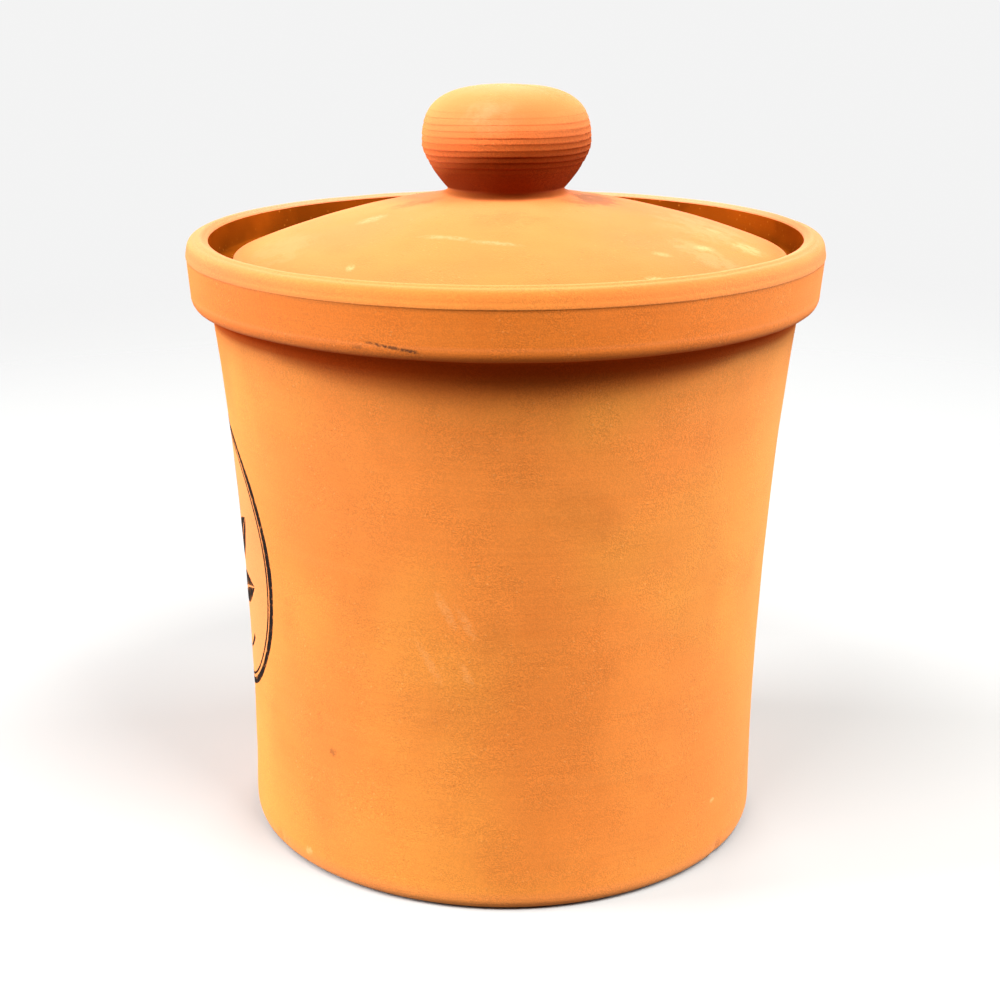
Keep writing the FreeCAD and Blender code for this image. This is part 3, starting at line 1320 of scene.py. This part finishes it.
    def _draw_knob(self, draw: Section) -> None:
        """Draw the knob, with points close together where the rings run.

        Args:
            draw: The section, which has reached the neck.
        """
        low, high = self.ring_span
        lower = np.linspace(-self.neck_drop, low, 9)[1:]
        ringed = np.linspace(low, high, self.ring_rows)[1:]
        turn = np.linspace(0.0, math.pi / 2.0, 26)[1:]
        upper = high + (self.crown_reach - high) * np.sin(turn)
        rises = np.concatenate([lower, ringed, upper])
        points = np.stack([self.knob_outline(rises), self.widest_height + rises], axis=-1)
        draw.follow(points, Zone.KNOB)

    def thread(self, angle: np.ndarray, rise: np.ndarray) -> tuple[np.ndarray, np.ndarray]:
        """Count the turns of the thread below a place.

        Args:
            angle: Angles round the axis.
            rise: Heights above the knob's widest place.

        Returns:
            The count, and its fraction.
        """
        wobble = 0.1 * np.sin(2.0 * angle + 1.0) + 0.08 * np.sin(3.0 * angle + 4.0)
        count = (rise - self.ring_start) / self.ring_pitch - angle / TURN + wobble
        return count, count - np.floor(count)

    def rings(self, angle: np.ndarray, height: np.ndarray) -> np.ndarray:
        """Give the turning rings: one fine thread wound up the knob.

        With p = fraction of (height / pitch - angle / turn), the surface is cut in by depth p, and
        at p = 0 it steps out again at once, so that each ring overhangs the one below. The cut
        fades at both ends.

        Args:
            angle: Angles round the axis.
            height: Heights above the base.

        Returns:
            How far the surface is cut in at each place, as negative heights.
        """
        draw = np.random.default_rng(self.ring_seed)
        rise = height - self.widest_height
        count, part = self.thread(angle, rise)
        step = smooth_step(0.0, self.ring_lip, part)
        turn = np.floor(count)
        strengths = draw.uniform(*self.ring_strengths, self.ring_count)
        strength = strengths[turn.astype(int) % self.ring_count]
        strength = strength * (0.8 + 0.2 * np.sin(3.0 * angle + 2.1 * turn))
        low, high = self.ring_span
        fade_in, fade_out = self.ring_fade
        fade = rise_and_fall(rise, (low, low + fade_in), (high - fade_out, high))
        return -self.ring_depth * (1.0 - step * (1.0 - part)) * strength * fade

    def relief(self, angle: np.ndarray, along: np.ndarray, height: np.ndarray) -> np.ndarray:
        """Add lumps, dimples and the knob's rings.

        Args:
            angle: Angles round the axis.
            along: Lengths along the section.
            height: Heights above the base.

        Returns:
            How far the surface stands out at each place.
        """
        rise = self.lumps.height(angle, along) + self.dimples.height(angle, along)
        rise = rise * smooth_step(self.seat_height, self.seat_height + self.edge_calm, height)
        return rise + self.rings(angle, height)

    def settle(self, grid: np.ndarray) -> np.ndarray:
        """Set the lid down off centre, its knob a little off the dome's own middle, and tip it.

        x grows by shift + edge offset on the dome and shift + knob offset on the knob, with a
        smooth change over the inner half of the dome.

        Args:
            grid: The lid's places, with a last axis of x, y, z.

        Returns:
            The moved places.
        """
        height = grid[..., 2]
        blend = smooth_step(self.seat_height + self.offset_start,
                            self.widest_height - self.neck_drop, height)
        moved = grid.copy()
        moved[..., 0] += self.shift + self.edge_offset * (1.0 - blend) + self.knob_offset * blend
        share = smooth_step(self.seat_height, self.seat_height + self.dome_start, height)
        moved[..., 2] += self.lean_share * grid[..., 0] * share
        return moved

    def masks(self, angle: np.ndarray, points: np.ndarray,
              zones: np.ndarray) -> dict[str, np.ndarray]:
        """Work out where the clay is rubbed pale and coarse, and where shade is painted.

        The painted shade, dark and redder, lies round the knob's lower half, starts higher on the
        right and is thickest just under each ring. More painted shade lies at the foot of the neck.

        Args:
            angle: Angles round the axis, as a row.
            points: The section's points.
            zones: The zone of each.

        Returns:
            For each mask, one row of values for each section point.
        """
        rise = points[:, 1:] - self.widest_height
        outward = points[:, :1] - self.neck_radius
        knob, right = on(zones, Zone.KNOB), np.cos(angle)
        crown = self.crown_wear * smooth_step(0.0, self.crown_wear_reach, rise)
        low, high = level_round(self.knob_shade_bottom, right), level_round(self.knob_shade_top, right)
        # Painted shade on the knob's lower half, starting higher on the right.
        knob_shade = self.knob_painted_shade * smooth_step(-low, high, -rise)
        part = self.thread(angle, rise)[1] ** self.ring_shade_power - self.ring_shade_middle
        least, gain = self.ring_shade_gain
        ringed = rise_and_fall(rise, *self.ring_shade_span)
        knob_shade = knob_shade + part * (gain * knob_shade * (1.0 - knob_shade) + least) * ringed
        # Painted shade at the foot of the neck, more at the front.
        plain, more = self.flare_painted_shade
        flare = plain + more * np.maximum(-np.sin(angle), 0.0)
        flare = flare * (1.0 - smooth_step(*self.flare_shade_range, outward))
        # The knob's lower half is painted redder: painted shade.
        side = 1.0 - smooth_step(self.knob_shade_redness_start, level_round(self.knob_shade_redness_top, right), rise)
        coarse = 1.0 - smooth_step(self.sand_start, level_round(self.sand_top, right), rise)
        even, uneven = self.sand
        return {"wear_and_pale_line": np.maximum(crown, self.edge_wear * on(zones, Zone.EDGE)),
                "painted_shade": np.clip(knob_shade, 0.0, 1.0) * knob + flare * on(zones, Zone.DOME),
                "tone_and_knob_shade": self.knob_shade_redness * side * knob,
                "sand": coarse * (even + uneven * right) * knob}

    def build(self) -> bpy.types.Object:
        """Make the lid's skin.

        Returns:
            The lid, not yet dressed.
        """
        points, zones = self.section()
        grid = self.settle(turned_grid(points, self.segments, self.relief))
        masks = self.masks(full_turn(self.segments), points, zones)
        return make_turning("canister_lid", grid, masks)


@dataclass
class PrintedMark:
    """A print on the wall: two oval lines round a plain sprig of leaves."""

    jar: Jar
    outer_line: float = 1.7 * MM
    inner_line: float = 0.6 * MM
    line_gap: float = 1.7 * MM
    proud: float = 0.03 * MM
    depth: float = 0.25 * MM
    oval_steps: int = 240
    stroke_steps: int = 32
    leaf_steps: int = 40
    leaf_bend: float = 0.12
    vein: Range = (0.02, 0.035)
    sharp_angle: float = math.radians(40.0)
    strips: list[np.ndarray] = field(default_factory=list)
    rings: list[bool] = field(default_factory=list)

    def _oval(self, inset: float, width: float) -> None:
        """Add one oval line: (a cos t, b sin t), with a width that wavers a little.

        Args:
            inset: How far the line's middle lies inside the print's edge.
            width: The line's width.
        """
        t = full_turn(self.oval_steps)[0]
        half_width, half_height = self.jar.print_reach
        track = np.stack([(half_width - inset) * np.cos(t), (half_height - inset) * np.sin(t)],
                         axis=-1)
        waver = 1.0 + 0.12 * np.sin(3.0 * t + 1.0) + 0.06 * np.sin(11.0 * t)
        self.strips.append(ribbon(track, 0.5 * width * waver, True))
        self.rings.append(True)

    def _stroke(self, start: tuple[float, float], corner: tuple[float, float],
                end: tuple[float, float], widths: tuple[float, float]) -> None:
        """Add a bent stroke along a quadratic Bezier, with a width that changes evenly.

        Args:
            start: Where it begins, in millimetres.
            corner: Where its two end tangents meet.
            end: Where it ends.
            widths: Its widths at both ends, in millimetres.
        """
        t = np.linspace(0.0, 1.0, self.stroke_steps)[:, None]
        a, b, c = (np.array(point) * MM for point in (start, corner, end))
        track = (1 - t) ** 2 * a + 2 * t * (1 - t) * b + t ** 2 * c
        width = np.linspace(*widths, self.stroke_steps) * MM
        self.strips.append(ribbon(track, 0.5 * width, False))
        self.rings.append(False)

    def _leaf(self, root: tuple[float, float], lean: float, length: float, width: float) -> None:
        """Add one leaf as two halves with a bare vein between them.

        At a share t of the leaf's length each half reaches from the vein out to
        width / 2 sin(pi t^0.8)^0.9, and the leaf bends sideways by 0.12 length t^2.

        Args:
            root: Where the leaf begins, in millimetres.
            lean: The direction in which it points.
            length: Its length in millimetres.
            width: Its greatest width in millimetres.
        """
        t = np.linspace(0.015, 0.985, self.leaf_steps)
        reach = 0.5 * width * np.sin(math.pi * t ** 0.8) ** 0.9
        vein = self.vein[0] * width + self.vein[1] * width * (1.0 - t)
        ahead = np.array([math.cos(lean), math.sin(lean)])
        side = np.array([-ahead[1], ahead[0]])
        bend = self.leaf_bend * length * t ** 2 * (-1.0 if math.cos(lean) > 0 else 1.0)
        middle = np.array(root) + length * t[:, None] * ahead + bend[:, None] * side
        for sign in (1.0, -1.0):
            far = np.maximum(reach, vein + 0.01 * width)
            outer = middle + sign * far[:, None] * side
            inner = middle + sign * vein[:, None] * side
            rows = [outer, 0.5 * (outer + inner), inner]
            self.strips.append(np.stack(rows if sign > 0 else rows[::-1], axis=1) * MM)
            self.rings.append(False)

    def _draw(self) -> None:
        """Draw the frame and the sprig, in millimetres from the middle of the oval."""
        self._oval(0.5 * self.outer_line, self.outer_line)
        self._oval(0.5 * self.outer_line + self.line_gap, self.inner_line)
        self._stroke((0.0, -21.0), (-1.6, -8.0), (0.0, 4.0), (1.1, 0.7))
        self._leaf((0.0, 3.0), math.radians(90.0), 20.0, 8.5)
        for side in (1.0, -1.0):
            for root, lean, length, width in ((-2.5, 52.0, 19.0, 8.0), (-10.5, 27.0, 17.5, 7.5)):
                angle = math.radians(lean if side > 0 else 180.0 - lean)
                self._leaf((side * 0.5 - 0.5, root), angle, length, width)
            self._stroke((side * 5.5, -22.5), (side * 9.0, -21.0), (side * 12.5, -17.5), (0.5, 1.2))

    def build(self) -> bpy.types.Object:
        """Lay every strip on the wall as a thin closed slab.

        Returns:
            The print, not yet dressed.
        """
        self._draw()
        points, faces, edges = [], [], []
        count = 0
        for strip, closed in zip(self.strips, self.rings):
            around = self.jar.print_angle + strip[..., 0] / self.jar.waist_radius
            level = self.jar.print_height + strip[..., 1]
            upper = self.jar.skin(around, level, self.proud)
            lower = self.jar.skin(around, level, -self.depth)
            rows, across = strip.shape[:2]
            points += [upper.reshape(-1, 3), lower.reshape(-1, 3)]
            faces.append(slab_faces(rows, across, closed, count))
            rim = np.tile([1.0, 0.0, 1.0], rows)
            edges += [rim, rim]
            count += 2 * rows * across
        piece = make_object("printed_mark", np.concatenate(points), faces,
                            {"edge": np.concatenate(edges)})
        piece.data.set_sharp_from_angle(angle=self.sharp_angle)
        return piece


# ---------------------------------------------------------------- studio


@dataclass(frozen=True)
class Softbox:
    """A square lamp that faces a point."""

    name: str
    place: Point
    target: Point
    size: float
    power: float
    colour: Colour = (1.0, 1.0, 1.0)

    def build(self) -> None:
        """Hang the lamp."""
        lamp = bpy.data.lights.new(self.name, "AREA")
        lamp.size = self.size
        lamp.energy = self.power
        lamp.color = self.colour
        holder = bpy.data.objects.new(self.name, lamp)
        holder.location = self.place
        aim = Vector(self.target) - Vector(self.place)
        holder.rotation_euler = aim.to_track_quat("-Z", "Y").to_euler()
        bpy.context.scene.collection.objects.link(holder)


@dataclass
class Studio:
    """The floor, the pale surroundings, the lamps and the camera."""

    world_strength: float = 0.06
    backdrop: float = 0.9
    world_colour: Colour = (1.0, 1.0, 1.0)
    floor_size: float = 8.0
    floor_lines: int = 9
    camera_place: Point = (0.0, -0.39395, 0.19710)
    camera_down: float = math.radians(16.96)
    camera_yaw: float = 0.011
    camera_roll: float = 0.002
    lens: float = 64.03
    camera_shift: Range = (0.0148, -0.0154)
    film_width: float = 36.0
    nearest: float = 0.01

    def build(self) -> None:
        """Set the stage."""
        self._world()
        self._floor()
        middle = (0.0, 0.0, 0.09)
        for box in (
            Softbox("lamp_right_high", (0.38, -0.44, 1.005), middle, 0.42, 14.2, (1.0, 0.99, 0.96)),
            Softbox("lamp_left_high", (-0.33, -0.48, 1.005), middle, 0.42, 9.3, (1.0, 0.99, 0.96)),
            Softbox("lamp_left", (-0.97, -0.05, 0.42), middle, 0.50, 20.0),
            Softbox("lamp_right", (0.97, 0.05, 0.42), middle, 0.50, 11.0, (0.94, 1.0, 1.0)),
            Softbox("lamp_back", (0.10, 0.98, 0.42), middle, 0.50, 6.5),
        ):
            box.build()
        self._camera()
        bpy.context.scene.view_settings.view_transform = "Standard"

    def _world(self) -> None:
        """Light the surroundings, and show them white to the camera."""
        world = bpy.data.worlds.new("surroundings")
        world.use_nodes = True
        bpy.context.scene.world = world
        sheet = Sheet(world.node_tree)
        ground = world.node_tree.nodes["Background"]
        seen = sheet.add("LightPath").outputs["Is Camera Ray"]
        strength = sheet.add("Mix", {0: seen, 2: self.world_strength, 3: self.backdrop},
                             data_type="FLOAT")
        sheet.feed(ground, "Strength", strength.outputs[0])
        ground.inputs["Color"].default_value = rgba(self.world_colour)

    def _floor(self) -> None:
        """Lay the floor just under the object, as a fine flat grid."""
        half, lines = self.floor_size, self.floor_lines
        line = np.linspace(-half, half, lines)
        x, y = np.meshgrid(line, line, indexing="xy")
        points = np.stack([x.ravel(), y.ravel(), np.zeros(x.size)], axis=-1)
        cell = np.arange(lines - 1)
        first = (cell[:, None] * lines + cell).ravel()
        faces = np.stack([first, first + 1, first + lines + 1, first + lines], axis=-1)
        floor = make_object("floor", points, [faces], {})
        finish = FloorFinish("pale_floor", (0.44, 0.44, 0.44), (0.20, 0.19, 0.18))
        floor.data.materials.append(finish.build())

    def _camera(self) -> None:
        """Place the camera in front and above, with its small turn, roll and shift."""
        lens = bpy.data.cameras.new("camera")
        lens.lens = self.lens
        lens.sensor_width = self.film_width
        lens.shift_x, lens.shift_y = self.camera_shift
        lens.clip_start = self.nearest
        camera = bpy.data.objects.new("camera", lens)
        turn = Euler((math.pi / 2.0 - self.camera_down, 0.0, self.camera_yaw)).to_matrix()
        turn = turn @ Matrix.Rotation(self.camera_roll, 3, "Z")
        camera.matrix_world = Matrix.Translation(self.camera_place) @ turn.to_4x4()
        bpy.context.scene.collection.objects.link(camera)
        bpy.context.scene.camera = camera


# ---------------------------------------------------------------- assembly


PALE_RUB = (0.90, 0.40, 0.12)
CHALK = (0.94, 0.46, 0.19)
# Colour of the painted highlight on the knob.
PAINTED_HIGHLIGHT = (0.93, 0.34, 0.14)
HAZE = (0.90, 0.33, 0.13)
STAIN = (0.55, 0.16, 0.018)
# Colour of darker patches round the neck; the one in front is a painted shadow.
NECK_DARK = (0.62, 0.12, 0.014)
DARK_BROWN = (0.34, 0.09, 0.015)
SOOT = (0.10, 0.028, 0.008)


def rubs(colour: Colour, *rows: tuple[float, ...], **edge: float) -> tuple[Smear, ...]:
    """Make smears of one colour from rows of numbers.

    Args:
        colour: Their colour.
        *rows: For each smear its middle and its reach, both as x, y, z in millimetres, its turns
            about Y and Z in radians, and its strength.
        **edge: How their edges break up, as in Smear.

    Returns:
        The smears.
    """
    return tuple(Smear((x * MM, y * MM, z * MM), (a * MM, b * MM, c * MM), (0.0, lean, yaw),
                       colour, strength, **edge)
                 for x, y, z, a, b, c, lean, yaw, strength in rows)


CLAY_JAR = ClayFinish(
    name="jar_clay",
    base=(0.77, 0.275, 0.036),
    warm=(0.80, 0.245, 0.034),
    deep=(0.60, 0.150, 0.014),
    redder=(0.72, 0.152, 0.004),
    pale=(0.92, 0.44, 0.12),
    dust=(0.80, 0.245, 0.062),
    # Colour of the painted shade under the band.
    painted_shade=(0.34, 0.030, 0.0008),
    # Gallery glaze, also laid on the seat as painted shade.
    glaze_and_seat_shade=(0.30, 0.062, 0.003),
    smears=(
        *rubs(PALE_RUB,
              (-11.5, -58.9, 68.1, 1.9, 5.0, 8.0, -0.47, 0.0, 0.4),
              (-7.5, -59.5, 65.7, 1.8, 5.0, 7.4, -0.5, 0.0, 0.4),
              (-15.1, -57.5, 56.4, 1.8, 5.0, 9.5, -0.5, 0.0, 0.3),
              (-7.3, -58.9, 54.1, 1.8, 5.0, 5.5, -0.45, 0.0, 0.35)),
        *rubs(STAIN,
              (-2.0, -59.7, 63.2, 6.0, 6.0, 10.0, 0.3, 0.0, 0.3),
              (16.5, -59.9, 89.0, 16.0, 8.0, 11.0, 0.5, 0.0, 0.25),
              (17.0, -56.4, 41.1, 8.0, 6.0, 13.0, 0.4, 0.0, 0.15)),
        *rubs(DARK_BROWN,
              (-36.4, -46.0, 30.8, 2.0, 2.0, 1.7, 0.0, 0.0, 0.6),
              (-28.1, -63.3, 123.5, 3.0, 2.0, 0.7, 0.05, -0.42, 0.6)),
        *rubs(SOOT,
              (-24.3, -64.9, 124.3, 4.6, 2.0, 0.6, 0.14, -0.36, 0.8),
              (-21.2, -66.0, 123.9, 5.0, 2.0, 0.6, 0.12, -0.31, 0.8),
              (-17.8, -66.9, 123.4, 4.2, 2.0, 0.8, 0.1, -0.27, 0.9)),
        *rubs(PALE_RUB,
              (-42.9, -40.3, 4.2, 2.2, 2.2, 1.8, 0.0, 0.0, 0.9),
              (46.6, -35.9, 14.9, 1.6, 1.6, 1.2, 0.0, 0.0, 0.9)),
    ),
)

CLAY_LID = ClayFinish(
    name="lid_clay",
    base=(0.77, 0.215, 0.038),
    warm=(0.79, 0.195, 0.040),
    deep=(0.64, 0.140, 0.020),
    # The redder colour of the knob's painted shade.
    redder=(0.64, 0.140, 0.020),
    pale=(0.92, 0.36, 0.10),
    dust=(0.84, 0.29, 0.090),
    # Colour of the painted shade round the knob.
    painted_shade=(0.16, 0.018, 0.0008),
    patch_offset=(0.31, 0.17, 0.05),
    speckle_depth=0.05,
    smears=(
        *rubs(HAZE,
              (-12.0, -33.5, 140.0, 11.0, 1.8, 6.0, 0.0, -0.4, 0.6),
              (-2.0, -37.5, 139.5, 9.0, 1.8, 6.0, 0.0, -0.2, 0.6),
              (-28.5, -13.9, 140.7, 6.0, 4.0, 6.0, 0.0, 0.3, 0.7)),
        *rubs(CHALK,
              (-31.0, -41.2, 134.7, 1.7, 2.8, 2.2, 0.0, 0.0, 0.5),
              (41.3, -25.6, 136.4, 4.8, 2.6, 3.0, 0.0, 0.6, 0.6),
              (31.8, -35.0, 136.7, 4.0, 2.0, 3.0, 0.0, 0.1, 0.4),
              break_scale=1900.0),
        *rubs(CHALK,
              (45.5, -8.2, 137.2, 4.5, 3.2, 3.0, 0.0, -0.4, 0.3),
              break_scale=900.0),
        *rubs(CHALK,
              (29.7, -47.5, 133.7, 4.0, 2.6, 3.0, 0.0, 0.3, 0.5),
              break_scale=1900.0),
        *rubs(CHALK,
              (51.8, -15.7, 134.6, 8.5, 7.0, 4.5, 0.0, 0.3, 0.45),
              break_scale=500.0),
        *rubs(HAZE,
              (42.0, -8.0, 137.0, 23.0, 21.0, 12.0, 0.0, 0.5, 0.35),
              break_scale=240.0, threshold=0.22, softness=0.6),
        *rubs(HAZE,
              (42.0, -30.0, 136.0, 18.0, 10.0, 12.0, 0.0, -0.5, 0.35),
              break_scale=300.0, threshold=0.22, softness=0.6),
        *rubs(HAZE,
              (-48.0, -18.0, 135.0, 16.0, 21.0, 12.0, 0.0, 0.4, 0.18),
              break_scale=240.0, threshold=0.2, softness=0.6),
        # Painted highlight on the front of the knob.
        *rubs(PAINTED_HIGHLIGHT,
              (-4.0, -16.0, 162.5, 15.0, 10.0, 7.5, 0.0, 0.0, 0.65),
              break_scale=70.0, threshold=0.1, softness=0.9),
        # Painted shadow of the knob on the dome in front of the neck.
        *rubs(NECK_DARK,
              (1.0, -24.0, 143.0, 17.0, 11.0, 6.0, 0.0, 0.0, 0.35),
              break_scale=200.0, threshold=0.1, softness=0.9),
        # Darker patch at the right foot of the neck.
        *rubs(NECK_DARK,
              (16.0, -9.0, 143.8, 6.5, 6.0, 5.0, 0.0, 0.3, 0.8),
              break_scale=350.0, threshold=0.1, softness=0.7),
        # Darker patch on the dome right of the neck.
        *rubs(DARK_BROWN,
              (19.5, -1.0, 143.0, 10.0, 13.0, 6.0, 0.0, 0.0, 0.85),
              break_scale=250.0, threshold=0.08, softness=0.6),
        # Darker patch on the dome left of the neck.
        *rubs(NECK_DARK,
              (-20.0, -6.5, 143.2, 11.0, 5.5, 5.0, 0.0, 0.0, 0.7),
              break_scale=350.0, threshold=0.1, softness=0.7),
    ),
)

PRINT_INK = InkFinish(name="print_ink", ink=(0.007, 0.0025, 0.002), clay=(0.40, 0.13, 0.03))


def dress(piece: bpy.types.Object, material: bpy.types.Material,
          nodes: tuple[str, ...] = ()) -> None:
    """Give a piece its finish and its body, and hide the model's nodes that it stands for.

    Args:
        piece: The finished piece.
        material: Its material.
        nodes: The model's nodes that the piece stands for.
    """
    piece.data.materials.append(material)
    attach(piece, "root")
    if nodes:
        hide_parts(*nodes)
    LOG.info("%s: %d points, %d faces", piece.name, len(piece.data.vertices),
             len(piece.data.polygons))


def main() -> None:
    """Build the jar, the lid, the print and the studio, in that order."""
    logging.basicConfig(level=logging.INFO, format="%(name)s %(message)s")
    effects = Effects(Grain().build(), Mottle().build(), SmearSpot().build())
    jar_low, jar_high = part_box("jar")
    lid_low, lid_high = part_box("lid")
    crown = Jar.lip_crown
    jar = Jar(height=jar_high.z - crown, lip_radius=(jar_high.x - jar_low.x) / 2.0,
              seat_height=lid_low.z)
    lid = Lid(seat_height=lid_low.z, top_height=lid_high.z,
              radius=(lid_high.x - lid_low.x) / 2.0, shift=(lid_high.x + lid_low.x) / 2.0)
    dress(jar.build(), CLAY_JAR.build(effects), ("jar",))
    dress(lid.build(), CLAY_LID.build(effects), ("lid",))
    dress(PrintedMark(jar).build(), PRINT_INK.build(effects))
    Studio().build()


if __name__ == "__main__":
    main()
